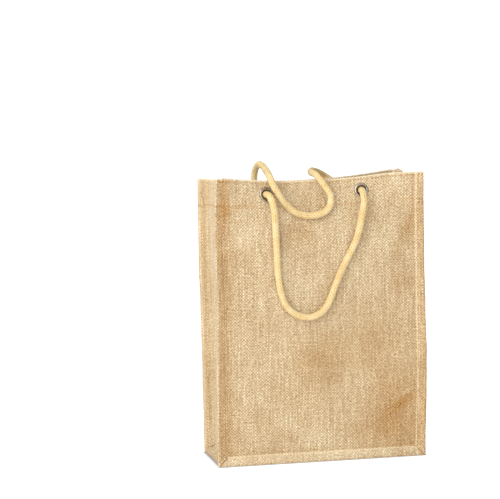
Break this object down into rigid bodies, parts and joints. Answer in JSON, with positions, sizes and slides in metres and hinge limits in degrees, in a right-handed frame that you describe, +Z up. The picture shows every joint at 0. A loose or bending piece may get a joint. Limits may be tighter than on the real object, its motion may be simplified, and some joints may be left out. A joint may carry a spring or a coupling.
{
  "type": "jute tote bag",
  "caption": "Open jute tote bag with side gussets, outward sewn seams, a hemmed mouth and braided rope handles through metal eyelets.",
  "frame": {"origin": "on the floor under the middle of the bag", "axes": "+X across the front to the viewer's right, +Y from the front panel to the back panel, +Z up to the mouth"},
  "size_m": [0.3079, 0.1205, 0.4189],
  "materials": {
    "jute": "natural jute, coarse plain weave, laminated inside, matte",
    "rope": "cream braided cotton rope, matte",
    "eyelet_metal": "dark nickel plated, polished"
  },
  "bodies": {
    "root": {"front_panel": "jute", "back_panel": "jute", "left_gusset": "jute", "right_gusset": "jute", "base_panel": "jute", "front_handle": "rope", "back_handle": "rope", "knot_front_left": "rope", "knot_front_right": "rope", "knot_back_left": "rope", "knot_back_right": "rope", "eyelet_front_left": "eyelet_metal", "eyelet_front_right": "eyelet_metal", "eyelet_back_left": "eyelet_metal", "eyelet_back_right": "eyelet_metal", "washer_front_left": "eyelet_metal", "washer_front_right": "eyelet_metal", "washer_back_left": "eyelet_metal", "washer_back_right": "eyelet_metal"}
  },
  "joints": []
}
